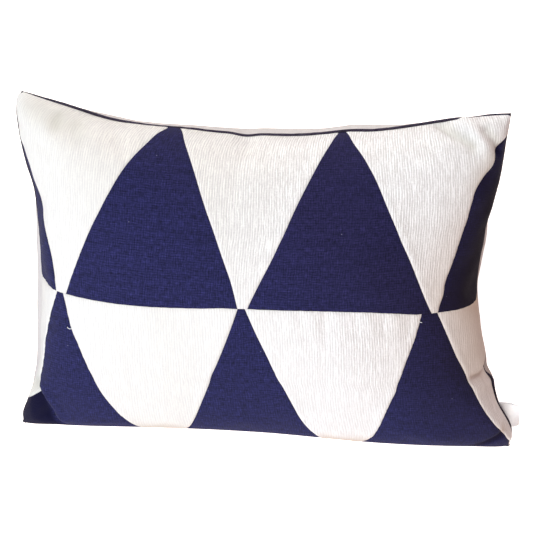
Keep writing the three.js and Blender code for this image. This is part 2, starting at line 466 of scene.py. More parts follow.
def triangulate(panel):
    points = [Vector(p) for p in panel.points]
    found = delaunay_2d_cdt(points, panel.edges, [], 0, 1e-6, False)
    cloth = np.array([tuple(p) for p in found[0]])
    triangles = np.array([f for f in found[2] if len(f) == 3])
    a, b, c = (cloth[triangles[:, k]] for k in range(3))
    area = (b[:, 0] - a[:, 0]) * (c[:, 1] - a[:, 1]) - (b[:, 1] - a[:, 1]) * (c[:, 0] - a[:, 0])
    triangles[area < 0] = triangles[area < 0][:, ::-1]
    return cloth, triangles[np.abs(area) > 1e-4]


def hexField(gap):
    rowGap = gap * math.sqrt(3) / 2
    rows = int(coverForm["height"] / rowGap)
    columns = int(coverForm["width"] / gap)
    return [
        (-halfWidth + (i + (0.5 if j % 2 else 0.0)) * gap, -halfHeight + j * rowGap)
        for j in range(rows + 2)
        for i in range(columns + 2)
    ]


def besideRun(run, offset):
    step = unit(np.gradient(run, axis=0))
    across = pairs(-step[:, 1], step[:, 0])
    return np.concatenate([run + across * offset, run - across * offset])


# Rows of points beside the outline
def addRimRows(panel, gap, offset):
    u = evenRun(-halfWidth, halfWidth, gap)
    v = evenRun(-halfHeight, halfHeight, gap)
    for sign in (-1, 1):
        panel.addLoose(pairs(u, sign * (halfHeight - offset)), patchwork["rowsApart"])
        panel.addLoose(pairs(sign * (halfWidth - offset), v), patchwork["rowsApart"])


def facePanel():
    gap = patchwork["pointGap"]
    runs = patchSeamRuns(gap)
    panel = PanelPoints()
    ends = [run[-1] for run in runs]
    for v in (-halfHeight, halfHeight):
        needed = [p[0] for p in ends if abs(p[1] - v) < 1e-6 and abs(p[0]) < halfWidth - 1e-6]
        u = evenRun(-halfWidth, halfWidth, gap, needed)
        panel.addRun(pairs(u, v))
    for u in (-halfWidth, halfWidth):
        needed = [p[1] for p in ends if abs(p[0] - u) < 1e-6]
        v = evenRun(-halfHeight, halfHeight, gap, needed + [float(middleSeam(u))])
        panel.addRun(pairs(u, v))
    starts = sorted({round(float(run[0][0]), 4) for run in runs})
    u = evenRun(-halfWidth, halfWidth, gap, starts)
    runs = [pairs(u, middleSeam(u)), *runs]
    for run in runs:
        panel.addRun(run)
    for offset in patchwork["rows"]:
        for run in runs:
            panel.addLoose(besideRun(run, offset), patchwork["rowsApart"])
        addRimRows(panel, gap, offset)
    panel.addLoose(hexField(gap), patchwork["fieldApart"])
    return triangulate(panel), runs


def backPanel(outline):
    gap = patchwork["backPointGap"]
    panel = PanelPoints()
    for p in outline:
        panel.keep(p)
    for offset in patchwork["rows"]:
        addRimRows(panel, gap, offset)
    panel.addLoose(hexField(gap), patchwork["backFieldApart"])
    return triangulate(panel)


def onOutline(cloth):
    atSide = np.abs(np.abs(cloth[:, 0]) - halfWidth) < 1e-4
    atEnd = np.abs(np.abs(cloth[:, 1]) - halfHeight) < 1e-4
    return atSide | atEnd


def isNavy(cloth):
    upper = cloth[:, 1] > middleSeam(cloth[:, 0])
    counts = []
    for up, seams in ((1, patchwork["upper"]), (-1, patchwork["lower"])):
        lines = [patchSeamAt(path, up * cloth[:, 1]) for path in seams]
        counts.append(sum((cloth[:, 0] > line).astype(int) for line in lines))
    return np.where(upper, counts[0] % 2 == 0, counts[1] % 2 == 1)


(faceCloth, faceTriangles), seamRuns = facePanel()
outline = faceCloth[onOutline(faceCloth)]
backCloth, backTriangles = backPanel(outline)
print("panels cut:", len(faceTriangles), "and", len(backTriangles), "triangles")


# Folds pressed into the face: path on the flat cloth, width, rise (below 0 for a trough) and the painted
# shade that darkens the cloth along them
folds = [
    ([(145, 149), (151, 140), (158, 132), (167, 125)], 5.2, -4.2, 0.36),
    ([(165, 146), (170, 136), (177, 122)], 6.4, 2.8, 0),
    ([(179, 136), (183, 129), (188.5, 121)], 4.4, -3.8, 0.3),
    ([(180, 113), (170, 94)], 8, -0.6, 0.18),
    ([(166, -134), (178, -128), (190, -120)], 3.6, -2.6, 0.4),
    ([(202, -61), (190, -60), (172, -60)], 3.2, -1.9, 0.1),
    ([(200, -46), (186, -48)], 9, 1.4, 0),
    ([(192, -113), (198, -128)], 3, -1.5, 0.06),
    ([(-182, 141), (-163, 134), (-149, 133)], 13, -1.6, 0.22),
    ([(-161, 140), (-158, 126)], 5, -1.0, 0.22),
    ([(-143, 134), (-136, 120)], 6, -0.7, 0.12),
    ([(-176, 132), (-172, 112)], 7, -0.9, 0),
    ([(-196, -98), (-181, -86)], 4.5, -1.4, 0.24),
    ([(-9, 146), (-5, 130)], 6, -2.4, 0.03),
    # painted shade with no fold: the right side is turned away from the light, and these darken it
    ([(205, 80), (203, 32)], 34, 0, 0.9),
    ([(154, 55), (143, 4)], 17, 0, 0.14),
    ([(179, -3), (179, -36)], 34, 0, 0.54),
    ([(200, -78), (202, -112)], 22, 0, 0.2),
    ([(112, 40), (125, -50), (150, -105)], 32, 0, 0.12),
]
# The lower left ear is tucked back behind the filling: it drops at this path and comes up again past it
tuckedEar = {
    "path": [(-179, -82), (-177, -87), (-170.5, -92), (-162, -104), (-155, -121)],
    "drop": 11,
    "lip": 0.8,
    "wall": 2.6,
    "ramp": 27,
    # the lip comes this far before the drop, and this wide
    "lipPlace": 3,
    "lipWidth": 4,
    # painted shade on the tucked ear: it starts past the drop, grows over its softness and is gone at its
    # reach
    "shade": 0.8,
    "shadeFrom": 8,
    "shadeSoft": 7,
    "shadeReach": 66,
    "shadeEnd": 12,
    # the cream bit of the ear gets less of that painted shade, from this far beside its seam
    "creamRelief": 0.75,
    "creamEdge": 1.5,
}
# Relief fades out at the lowest part of the filled edge, which hangs smooth
smoothEdge = {"middle": -128, "earDrop": 18, "fade": 15}
# Painted shade: the cream is darkened where it rolls under at the lower edge
rollUnderShade = {"at": -131, "width": 13, "shade": 0.75, "side": 170}
# Small gathers that hang from the middle seam: place, lean, length, width and rise
gathers = [
    (38, 1.5, 16, 3.2, -0.7), (47, 0.8, 22, 3.4, 0.6), (58, -0.6, 20, 3.0, -0.7),
    (69, -1.2, 26, 3.6, 0.6), (79, 0.5, 18, 2.8, -0.9), (88, 1.0, 22, 3.0, 0.6),
    (98, 1.4, 24, 3.2, -0.6), (109, 0.6, 18, 3.2, 0.5), (120, -0.8, 20, 3.0, -0.5),
    (-96, 0.6, 14, 3.6, -0.35), (-62, -0.4, 16, 3.4, -0.35), (-36, 0.6, 16, 3.2, -0.5),
]
# Painted shade on the back where it turns under at the right
backPaintedShade = {"path": [(200, -30), (200, -105)], "width": 26, "shade": 0.6}
edgePuckers = {"height": 0.4, "length": 13, "reach": 17, "faceSeed": 3.1, "backSeed": 11.3}
unevenness = {"height": 0.55, "length": 34, "faceSeed": 7.7, "backSeed": 21.4}
# Folds and seams flatten out this near the outer seam
flatten = {"folds": 5, "seams": 2}


def noiseAt(points, size, seed):
    return np.array([noise.noise(Vector((p[0] / size, p[1] / size, seed))) for p in points])


def edgeDistance(cloth):
    return np.minimum(halfWidth - np.abs(cloth[:, 0]), halfHeight - np.abs(cloth[:, 1]))


# Puckers that run in from the nearest edge, uneven along it
def edgePuckerRise(cloth, seed):
    toSide = halfWidth - np.abs(cloth[:, 0])
    toEnd = halfHeight - np.abs(cloth[:, 1])
    rise = np.zeros(len(cloth))
    for distance, along, shift in ((toSide, cloth[:, 1], 40), (toEnd, cloth[:, 0], 0)):
        near = distance < edgePuckers["reach"] * 3
        spot = pairs(along[near], shift + distance[near] * 0.25)
        wave = noiseAt(spot, edgePuckers["length"], seed + shift)
        fade = np.exp(-(distance[near] / edgePuckers["reach"]) ** 2)
        rise[near] += edgePuckers["height"] * 2 * wave * fade
    return rise


# Grooves along the patch seams, with the seam allowances pressed under the cream side
def seamRelief(cloth):
    groove = np.zeros(len(cloth))
    allowance = np.zeros(len(cloth))
    nearest = np.full(len(cloth), 99.0)
    navy = isNavy(cloth)
    shape = patchwork["groove"]
    flap = patchwork["allowance"]
    for run in seamRuns:
        path = np.concatenate([run[:-1:6], run[-1:]])
        distance, _, across = pathDistance(cloth, path)
        nearest = np.minimum(nearest, distance)
        groove = np.maximum(groove, np.exp(-(distance / shape["width"]) ** 2))
        edge = smoothStep((flap["width"] - distance) / flap["slope"])
        allowance = np.maximum(allowance, np.where(navy, 0, edge))
    return flap["height"] * allowance - shape["depth"] * groove, nearest


def tuckedEarRise(cloth):
    ear = tuckedEar
    distance, along, across = pathDistance(cloth, ear["path"])
    past = -across * distance
    fade = smoothStep(0.35 + along * 4)
    drop = smoothStep(past / ear["wall"]) * smoothStep((ear["ramp"] + ear["wall"] - past) / ear["ramp"])
    lip = np.exp(-((past + ear["lipPlace"]) / ear["lipWidth"]) ** 2)
    # painted shade on the tucked ear, lighter on its cream bit
    shade = smoothStep((past - ear["shadeFrom"]) / ear["shadeSoft"])
    shade = shade * smoothStep((ear["shadeReach"] - past) / ear["shadeEnd"])
    intoCream = patchSeamAt(patchwork["lower"][0], -cloth[:, 1]) - cloth[:, 0]
    shade = shade * (1 - ear["creamRelief"] * smoothStep((intoCream + ear["creamEdge"]) / ear["creamEdge"]))
    return (ear["lip"] * lip - ear["drop"] * drop) * fade, ear["shade"] * shade * fade


def smoothEdgeShare(cloth):
    lowest = smoothEdge["middle"] - smoothEdge["earDrop"] * (cloth[:, 0] / 200) ** 4
    return smoothStep((cloth[:, 1] - lowest) / smoothEdge["fade"])


def faceRise(cloth):
    edge = edgeDistance(cloth)
    rise, shade = tuckedEarRise(cloth)
    # each fold adds its painted shade to the shade mark
    for path, width, height, dark in folds:
        distance, _, _ = pathDistance(cloth, path)
        hollow = np.exp(-(distance / width) ** 2)
        rise += height * hollow
        shade = shade + dark * hollow
    drop = middleSeam(cloth[:, 0]) - cloth[:, 1]
    start = 1.5
    for u, lean, length, width, height in gathers:
        across = cloth[:, 0] - u - lean * drop * 0.1
        shape = np.exp(-(across / width) ** 2) * np.exp(-((drop - start) / length) ** 2)
        rise += height * shape * np.clip(drop / start, 0, 1)
    rise += edgePuckerRise(cloth, edgePuckers["faceSeed"])
    rise += unevenness["height"] * 2 * noiseAt(cloth, unevenness["length"], unevenness["faceSeed"])
    # painted shade where the cream rolls under at the lower edge
    under = np.exp(-((cloth[:, 1] - rollUnderShade["at"]) / rollUnderShade["width"]) ** 2)
    under = np.where(isNavy(cloth) | (np.abs(cloth[:, 0]) > rollUnderShade["side"]), 0, under)
    shade = shade + rollUnderShade["shade"] * under
    relief, nearest = seamRelief(cloth)
    rise = rise * smoothEdgeShare(cloth) * np.clip(edge / flatten["folds"], 0, 1)
    rise = rise + relief * np.clip(edge / flatten["seams"], 0, 1)
    return rise, np.minimum(nearest, edge), shade


def backRise(cloth):
    edge = edgeDistance(cloth)
    distance, _, _ = pathDistance(cloth, backPaintedShade["path"])
    shade = backPaintedShade["shade"] * np.exp(-(distance / backPaintedShade["width"]) ** 2)
    rise = edgePuckerRise(cloth, edgePuckers["backSeed"])
    rise += unevenness["height"] * 2 * noiseAt(cloth, unevenness["length"], unevenness["backSeed"])
    return rise * np.clip(edge / flatten["folds"], 0, 1), edge, shade


def placeCloth(cloth, clothMap, riseOf):
    x, y = clothMap.between(cloth)
    rise, nearest, shade = riseOf(cloth)
    wrinkle = wrinkleRise(cloth, clothMap)
    if clothMap.side > 0:
        wrinkle = wrinkle * smoothEdgeShare(cloth)
    rise = rise + wrinkle
    place = smoothPoint(x, y, clothMap.side)
    place = place + outwardAt(x, y, clothMap.side) * rise[:, None]
    place[:, 2] = pressFlat(place[:, 2] + seamHeight)
    return place, nearest, shade


def meshObject(name, points, faces):
    mesh = bpy.data.meshes.new(name)
    mesh.from_pydata((points * mm).tolist(), [], faces.tolist())
    mesh.update()
    piece = bpy.data.objects.new(name, mesh)
    bpy.context.scene.collection.objects.link(piece)
    return piece


def activate(piece):
    bpy.ops.object.select_all(action="DESELECT")
    piece.select_set(True)
    bpy.context.view_layer.objects.active = piece


# Cloth simulation of the filled cover on a coarser cut of the same panels
filling = {
    "columns": 96,
    "rows": 72,
    "frames": 20,
    "cloth": {
        "quality": 6,
        "mass": 0.15,
        "tension_stiffness": 25,
        "compression_stiffness": 12,
        "shear_stiffness": 5,
        "bending_stiffness": 2.0,
        "tension_damping": 10,
        "compression_damping": 10,
        "shear_damping": 10,
        "air_damping": 3,
        "use_pressure": True,
        "uniform_pressure_force": 4,
        # the cover is cut a little wider than its seams hold it, most of all beside them
        "vertex_group_mass": "seam",
        "vertex_group_shrink": "tight",
        "shrink_min": -0.045,
        "shrink_max": 0,
    },
    "easeReach": 55,
    # wrinkles are what differs from the form smoothed over this width
    "smoothOver": 24,
    "cap": 4,
    "share": 0.5,
    # how far from the seam they start on the face and on the back, whose rim stays as drawn
    "fade": {1: (6, 22), -1: (35, 30)},
}


# Even grid of flat cloth places, row by row
def flatGrid():
    u = np.linspace(-halfWidth, halfWidth, filling["columns"] + 1)
    v = np.linspace(-halfHeight, halfHeight, filling["rows"] + 1)
    return np.stack(np.meshgrid(u, v), -1).reshape(-1, 2)


def fillingDraft():
    flat = flatGrid()
    count = len(flat)
    places = []
    for clothMap in (faceMap, backMap):
        x, y = clothMap.between(flat)
        places.append(smoothPoint(x, y, clothMap.side) + [0, 0, seamHeight])
    isRim = onOutline(flat)
    backIndex = np.arange(count)
    backIndex[~isRim] = count + np.arange((~isRim).sum())
    corner = np.arange(count).reshape(filling["rows"] + 1, -1)
    quads = np.stack([corner[:-1, :-1], corner[:-1, 1:], corner[1:, 1:], corner[1:, :-1]], -1)
    quads = quads.reshape(-1, 4)
    faces = np.concatenate([quads, backIndex[quads][:, ::-1]])
    draft = meshObject("cover_draft", np.concatenate([places[0], places[1][~isRim]]), faces)
    toEdge = np.concatenate([edgeDistance(flat), edgeDistance(flat[~isRim])])
    seam = draft.vertex_groups.new(name="seam")
    seam.add([int(n) for n in np.flatnonzero(isRim)], 1.0, "REPLACE")
    tight = draft.vertex_groups.new(name="tight")
    for n, distance in enumerate(toEdge):
        tight.add([n], float(smoothStep(distance / filling["easeReach"])), "REPLACE")
    return draft, places, backIndex


def fillCover():
    draft, places, backIndex = fillingDraft()
    activate(draft)
    cloth = draft.modifiers.new("filling", "CLOTH")
    for name, value in filling["cloth"].items():
        setattr(cloth.settings, name, value)
    cloth.settings.effector_weights.gravity = 0
    cloth.collision_settings.use_collision = False
    cloth.point_cache.frame_start = 1
    cloth.point_cache.frame_end = filling["frames"]
    for frameNumber in range(1, filling["frames"] + 1):
        bpy.context.scene.frame_set(frameNumber)
    bpy.ops.object.modifier_apply(modifier=cloth.name)
    filled = np.zeros(len(draft.data.vertices) * 3, np.float32)
    draft.data.vertices.foreach_get("co", filled)
    filled = filled.reshape(-1, 3) / mm
    bpy.data.objects.remove(draft)
    bpy.context.scene.frame_set(1)
    return filled[: len(places[0])], filled[backIndex], places


# Spread along one way of an even grid
def spreadGrid(grid, gap, axis):
    reach = int(2.5 * filling["smoothOver"] / gap)
    kernel = np.exp(-0.5 * (np.arange(-reach, reach + 1) * gap / filling["smoothOver"]) ** 2)

    def spread(line):
        return np.convolve(line, kernel, "full")[reach : reach + len(line)]

    return np.apply_along_axis(spread, axis, grid)


# What the filled cloth does beyond its broad swelling, which the cover's own form has already
def wrinkleGrid(clothMap, filled, drawn):
    rows, columns = filling["rows"] + 1, filling["columns"] + 1
    x, y = clothMap.between(flatGrid())
    moved = ((filled - drawn) * outwardAt(x, y, clothMap.side)).sum(1).reshape(rows, columns)
    broad, weight = moved, np.ones_like(moved)
    for axis, gap in ((0, 2 * halfHeight / (rows - 1)), (1, 2 * halfWidth / (columns - 1))):
        broad = spreadGrid(broad, gap, axis)
        weight = spreadGrid(weight, gap, axis)
    return np.clip(moved - broad / weight, -filling["cap"], filling["cap"])


def splineWeights(f):
    inner = (3 * f ** 3 - 6 * f ** 2 + 4) / 6, (1 + 3 * f + 3 * f ** 2 - 3 * f ** 3) / 6
    return (1 - f) ** 3 / 6, *inner, f ** 3 / 6


# Smooth value of an even grid at places of the flat cloth
def gridAt(grid, cloth):
    rows, columns = grid.shape
    column = (cloth[:, 0] / halfWidth + 1) / 2 * (columns - 1)
    row = (cloth[:, 1] / halfHeight + 1) / 2 * (rows - 1)
    i, j = np.floor(column).astype(int), np.floor(row).astype(int)
    total = np.zeros(len(cloth))
    for a, across in enumerate(splineWeights(column - i)):
        for b, up in enumerate(splineWeights(row - j)):
            total += across * up * grid[np.clip(j + b - 1, 0, rows - 1), np.clip(i + a - 1, 0, columns - 1)]
    return total


def wrinkleRise(cloth, clothMap):
    if clothMap.side not in wrinkles:
        return np.zeros(len(cloth))
    start, reach = filling["fade"][clothMap.side]
    share = filling["share"] * smoothStep((edgeDistance(cloth) - start) / reach)
    return gridAt(wrinkles[clothMap.side], cloth) * share


wrinkles = {}
faceFilled, backFilled, drawnPlaces = fillCover()
wrinkles[faceMap.side] = wrinkleGrid(faceMap, faceFilled, drawnPlaces[0])
wrinkles[backMap.side] = wrinkleGrid(backMap, backFilled, drawnPlaces[1])
print("filling settled, wrinkles up to", round(float(wrinkles[1].max()), 1), "mm")


def placeKey(p):
    return round(p[0], 3), round(p[1], 3)


def buildCover():
    facePlace, faceNearest, faceShade = placeCloth(faceCloth, faceMap, faceRise)
    backPlace, backNearest, backShade = placeCloth(backCloth, backMap, backRise)
    # the back's outline shares the face's points
    isSeam = onOutline(backCloth)
    byPlace = {placeKey(p): n for n, p in enumerate(faceCloth)}
    index = len(faceCloth) - 1 + np.cumsum(~isSeam)
    index[isSeam] = [byPlace[placeKey(p)] for p in backCloth[isSeam]]
    points = np.concatenate([facePlace, backPlace[~isSeam]])
    cover = meshObject("pillow_cover", points, np.concatenate([faceTriangles, index[backTriangles][:, ::-1]]))
    mesh = cover.data
    for material in (creamCloth, navyCloth, backCotton):
        mesh.materials.append(material)
    slots = [isNavy(faceCloth[faceTriangles].mean(1)), np.full(len(backTriangles), 2)]
    mesh.polygons.foreach_set("material_index", np.concatenate(slots).astype(np.int32))
    flat = np.concatenate([faceCloth[faceTriangles], backCloth[backTriangles[:, ::-1]]])
    uvLayer = mesh.uv_layers.new(name="cloth")
    uvLayer.uv.foreach_set("vector", (flat * mm).astype(np.float32).ravel())
    marks = {"seamDistance": (faceNearest, backNearest), "creaseShade": (faceShade, backShade)}
    for name, (face, back) in marks.items():
        mark = mesh.attributes.new(name, "FLOAT", "POINT")
        mark.data.foreach_set("value", np.concatenate([face, back[~isSeam]]).astype(np.float32))
    mesh.polygons.foreach_set("use_smooth", np.ones(len(mesh.polygons), bool))
    # the outer seam is a sharp edge
    ends = np.zeros(len(mesh.edges) * 2, np.int32)
    mesh.edges.foreach_get("vertices", ends)
    cloth = np.zeros((len(points), 2))
    cloth[: len(faceCloth)] = faceCloth
    sharp = mesh.attributes.new("sharp_edge", "BOOLEAN", "EDGE")
    sharp.data.foreach_set("value", onOutline(cloth[ends.reshape(-1, 2)].mean(1)))
    mesh.update()
    return cover


# A value in a node tree: sums, products and mixes of values make the next nodes
class Wire:
    def __init__(self, tree, socket):
        self.tree = tree
        self.socket = socket

    def into(self, kind, inputs, output=0, **settings):
        return Wire(self.tree, addNode(self.tree, kind, inputs, **settings).outputs[output])

    def maths(self, operation, *others, clamp=False):
        inputs = dict(enumerate((self, *others)))
        return self.into("ShaderNodeMath", inputs, operation=operation, use_clamp=clamp)

    def __add__(self, other):
        return self.maths("ADD", other)

    def __sub__(self, other):
        return self.maths("SUBTRACT", other)

    def __mul__(self, other):
        return self.maths("MULTIPLY", other)

    def __truediv__(self, other):
        return self.maths("DIVIDE", other)

    def ramp(self, low, high, outLow=0.0, outHigh=1.0):
        inputs = {"Value": self, "From Min": low, "From Max": high, "To Min": outLow, "To Max": outHigh}
        return self.into("ShaderNodeMapRange", inputs, clamp=True)

    def mix(self, first, second):
        return self.into("ShaderNodeMix", {0: self, 6: first, 7: second}, 2, data_type="RGBA")

    def scaled(self, *sizes):
        return self.into("ShaderNodeVectorMath", {0: self, 1: sizes}, operation="MULTIPLY")

    def parts(self):
        return [self.into("ShaderNodeSeparateXYZ", {0: self}, n) for n in (0, 1)]

    def cloud(self, across, up, detail=2.0, roughness=0.5, distortion=0.0):
        inputs = {"Vector": self.scaled(across, up, 1), "Scale": 1.0, "Detail": detail}
        inputs.update({"Roughness": roughness, "Distortion": distortion})
        return self.into("ShaderNodeTexNoise", inputs)

    def bumped(self, distance):
        return self.into("ShaderNodeBump", {"Height": self, "Strength": 1.0, "Distance": distance * mm})


def feed(node, inputs):
    for name, value in inputs.items():
        if isinstance(value, Wire):
            value.tree.links.new(value.socket, node.inputs[name])
        else:
            node.inputs[name].default_value = value


def addNode(tree, kind, inputs, **settings):
    node = tree.nodes.new(kind)
    for name, value in settings.items():
        setattr(node, name, value)
    feed(node, inputs)
    return node


# Shared effects: a place is a vector, everything else a number
def openGroup(name, inputs):
    tree = bpy.data.node_groups.new(name, "ShaderNodeTree")
    for label, value in inputs.items():
        kind = "NodeSocketVector" if value is None else "NodeSocketFloat"
        socket = tree.interface.new_socket(label, in_out="INPUT", socket_type=kind)
        if value is not None:
            socket.default_value = value
    entry = tree.nodes.new("NodeGroupInput")
    return [Wire(tree, entry.outputs[label]) for label in inputs]


def closeGroup(tree, outputs):
    for label in outputs:
        tree.interface.new_socket(label, in_out="OUTPUT", socket_type="NodeSocketFloat")
    addNode(tree, "NodeGroupOutput", outputs)
    return tree


def useGroup(tree, group, **inputs):
    node = addNode(tree, "ShaderNodeGroup", inputs, node_tree=group)
    return {output.name: Wire(tree, output) for output in node.outputs}


# Plain weave: threads that cross over and under, each a little lighter or thicker than the next
def weaveGroup():
    place, pitch = openGroup("plainWeave", {"Place": None, "Pitch": 1.0})
    wander = (place.cloud(0.12, 0.12, 1) - 0.5) * 2.4
    waveU, waveV = [((run + wander) * math.pi / pitch).maths("SINE") for run in place.parts()]
    over = (waveU * waveV).ramp(-0.35, 0.35)
    ridgeU, ridgeV = waveU.maths("ABSOLUTE"), waveV.maths("ABSOLUTE")
    warp = place.cloud(1.15, 0.2, 2, 0.6)
    bars = (place.cloud(0.015, 0.35) - 0.5) * 0.3
    weft = place.cloud(0.2, 1.15, 2, 0.6) + bars
    height = ridgeU + (ridgeV - ridgeU) * over
    return closeGroup(place.tree, {"Height": height, "Tone": (warp + weft) * 0.5})


# Ribbed slub: even ribs that run up the cloth, with thick and thin yarns between them
def slubGroup():
    place, pitch = openGroup("ribbedSlub", {"Place": None, "Pitch": 1.95})
    along = place.parts()[0] + (place.cloud(0.09, 0.05) - 0.5) * 2.2
    strength = place.cloud(0.7, 0.2).ramp(0.35, 0.65, 0.02, 0.58)
    rib = (along * (2 * math.pi) / pitch).maths("SINE") * strength
    yarn = (place.cloud(0.75, 0.05, 2, 0.5, 0.25) - 0.5).maths("ABSOLUTE").ramp(0.0, 0.16, -0.26, 0.26)
    grain = place.cloud(0.45, 0.8, 2, 0.6).ramp(0.3, 0.7, -0.15, 0.15)
    tone = (rib + yarn).maths("ADD", grain + 0.5, clamp=True)
    return closeGroup(place.tree, {"Tone": tone})


def readMark(tree, name):
    return Wire(tree, addNode(tree, "ShaderNodeAttribute", {}, attribute_name=name).outputs["Fac"])


# Seam shade: 1 in the groove of a seam, fading over the cloth beside it
def seamGroup():
    reach = openGroup("seamShade", {"Reach": 1.2})[0]
    away = readMark(reach.tree, "seamDistance") / reach
    mask = away.maths("MULTIPLY_ADD", -1.0, 1.0, clamp=True)
    return closeGroup(reach.tree, {"Mask": mask * mask})


# Crease shade: how much a fold darkens the cloth that it hides from the light
def creaseGroup():
    strength = openGroup("creaseShade", {"Strength": 1.0})[0]
    mask = readMark(strength.tree, "creaseShade").maths("MULTIPLY", strength, clamp=True)
    return closeGroup(strength.tree, {"Mask": mask})


weave = weaveGroup()
slub = slubGroup()
seamShade = seamGroup()
creaseShade = creaseGroup()


# Lint: a few small pale specks caught on the cloth
def lintMask(place, share):
    inputs = {"Vector": place, "Scale": 0.12}
    cells = addNode(place.tree, "ShaderNodeTexVoronoi", inputs, voronoi_dimensions="2D")
    spot = Wire(place.tree, cells.outputs["Distance"]).ramp(0.035, 0.055, 1.0, 0.0)
    return spot * Wire(place.tree, cells.outputs["Color"]).parts()[0].maths("LESS_THAN", share)


# How far a place lies along a slanted line over the flat cloth, from 0 at low to 1 at high
def slantShare(place, across, up, low, high):
    x, y = place.parts()
    return (x * across + y * up).ramp(low, high)


def fromScreen(red, green, blue):
    def linear(c):
        c = c / 255
        return c / 12.92 if c <= 0.04045 else ((c + 0.055) / 1.055) ** 2.4
    return linear(red), linear(green), linear(blue), 1.0


screenColours = {
    "creamLight": (250, 250, 250),
    # painted shade: the cream is a little darker towards the left
    "creamLeftShade": (239, 238, 232),
    "creamShade": (211, 208, 207),
    # painted shade in the cream's creases: cool at the top left and warm at the lower right
    "creamCoolShade": (172, 172, 158),
    "creamWarmShade": (184, 158, 134),
    "navyDark": (13, 14, 42),
    "navyLight": (55, 56, 114),
    # painted shade: the navy darkens towards the upper right
    "navyUpperRightShade": (54, 50, 99),
    # painted shade in the navy's creases: cool at the top left and warm at the lower right
    "navyCoolShade": (8, 6, 42),
    "navyWarmShade": (14, 3, 27),
    "backLight": (224, 219, 218),
    "backShade": (208, 203, 202),
    # painted shade where the back turns under
    "backPaintedShade": (132, 112, 98),
    "pipingDark": (32, 27, 38),
    "pipingLight": (72, 65, 84),
    "lint": (150, 150, 178),
    "tape": (254, 254, 255),
    "tapeShade": (244, 247, 252),
}
clothLooks = {name: fromScreen(*colour) for name, colour in screenColours.items()}


# A cloth's material, its nodes, its surface and the place on the flat cloth in millimetres
def startMaterial(name, roughness, sheen):
    material = bpy.data.materials.new(name)
    material.use_nodes = True
    tree = material.node_tree
    surface = tree.nodes["Principled BSDF"]
    feed(surface, {"Roughness": roughness, "Specular IOR Level": 0.12})
    feed(surface, {"Sheen Weight": sheen, "Sheen Roughness": 0.6})
    reader = addNode(tree, "ShaderNodeUVMap", {}, uv_map="cloth")
    return material, tree, surface, Wire(tree, reader.outputs["UV"]).scaled(1000, 1000, 1000)


# Painted shade: seams are darker, and so are creases, with cool shade at the top left and warm shade at the
# lower right
def shadeFolds(colour, place, seam, crease, looks):
    edge, hollow, warm = (clothLooks[name] for name in looks)
    colour = (seam * 0.5).mix(colour, edge)
    return crease.mix(colour, slantShare(place, 1, -1.2, 0, 90).mix(hollow, warm))


def makeCream():
    material, tree, surface, place = startMaterial("creamSlubCotton", 0.9, 0.05)
    seam = useGroup(tree, seamShade, Reach=1.0)["Mask"]
    crease = useGroup(tree, creaseShade)["Mask"]
    # the ribs show less where the cloth is turned from the light, and most where it rakes over them
    calm = (crease * -0.9 + 1.0) * (slantShare(place, 0.8, 1, -20, 80) * 0.7 + 0.6)
    tone = (useGroup(tree, slub, Place=place)["Tone"] - 0.5) * calm + 0.5
    # painted shade: the cream is a little darker towards the left, where the light falls strongest
    light = slantShare(place, 1, 0, -60, 60).mix(clothLooks["creamLeftShade"], clothLooks["creamLight"])
    colour = tone.mix(clothLooks["creamShade"], light)
    colour = shadeFolds(colour, place, seam, crease, ("creamShade", "creamCoolShade", "creamWarmShade"))
    fine = useGroup(tree, weave, Place=place, Pitch=0.55)["Height"]
    height = tone + fine * 0.18 - seam * 1.2
    feed(surface, {"Base Color": colour, "Normal": height.bumped(0.16)})
    return material


def makeNavy():
    material, tree, surface, place = startMaterial("navyCanvas", 0.85, 0.03)
    seam = useGroup(tree, seamShade, Reach=1.4)["Mask"]
    crease = useGroup(tree, creaseShade, Strength=1.6)["Mask"]
    threads = useGroup(tree, weave, Place=place, Pitch=1.05)
    # every other pick of the weave stands out
    picks = (useGroup(tree, weave, Place=place, Pitch=1.9)["Height"] - 0.64) * 0.14
    tone = (threads["Tone"] + picks).ramp(0.29, 0.71).maths("POWER", 1.5)
    # painted shade: the navy darkens towards the upper right
    light = slantShare(place, 1, 1, 0, 120).mix(clothLooks["navyLight"], clothLooks["navyUpperRightShade"])
    colour = tone.mix(clothLooks["navyDark"], light)
    colour = (lintMask(place, 0.014) * 0.5).mix(colour, clothLooks["lint"])
    colour = shadeFolds(colour, place, seam, crease, ("pipingDark", "navyCoolShade", "navyWarmShade"))
    feed(surface, {
        "Base Color": colour,
        "Roughness": threads["Tone"].ramp(0.4, 0.6, 0.8, 0.92),
        "Normal": (threads["Height"] + threads["Tone"]).bumped(0.16),
    })
    return material


# Cloths of one even weave: the back, the bias-cut piping and the tape
plainCloths = {
    # roughness, sheen, pitch of the threads, two tones and how far the threads stand up
    "paleBackCotton": (0.9, 0.12, 0.6, "backShade", "backLight", 0.15),
    "navyPipingCloth": (0.85, 0.03, 0.6, "pipingDark", "pipingLight", 0.12),
    "wovenTape": (0.55, 0.1, 0.35, "tapeShade", "tape", 0.06),
}


def makePlain(name, bias=0, crease=None):
    roughness, sheen, pitch, dark, light, rise = plainCloths[name]
    material, tree, surface, place = startMaterial(name, roughness, sheen)
    if bias:
        place = place.into("ShaderNodeMapping", {"Vector": place, "Rotation": (0, 0, math.radians(bias))})
    threads = useGroup(tree, weave, Place=place, Pitch=pitch)
    colour = threads["Tone"].ramp(0.3, 0.7).mix(clothLooks[dark], clothLooks[light])
    # the crease colour, if given, is painted shade mixed in by the crease mask
    if crease:
        colour = useGroup(tree, creaseShade)["Mask"].mix(colour, clothLooks[crease])
    feed(surface, {"Base Color": colour, "Normal": threads["Height"].bumped(rise)})
    return material


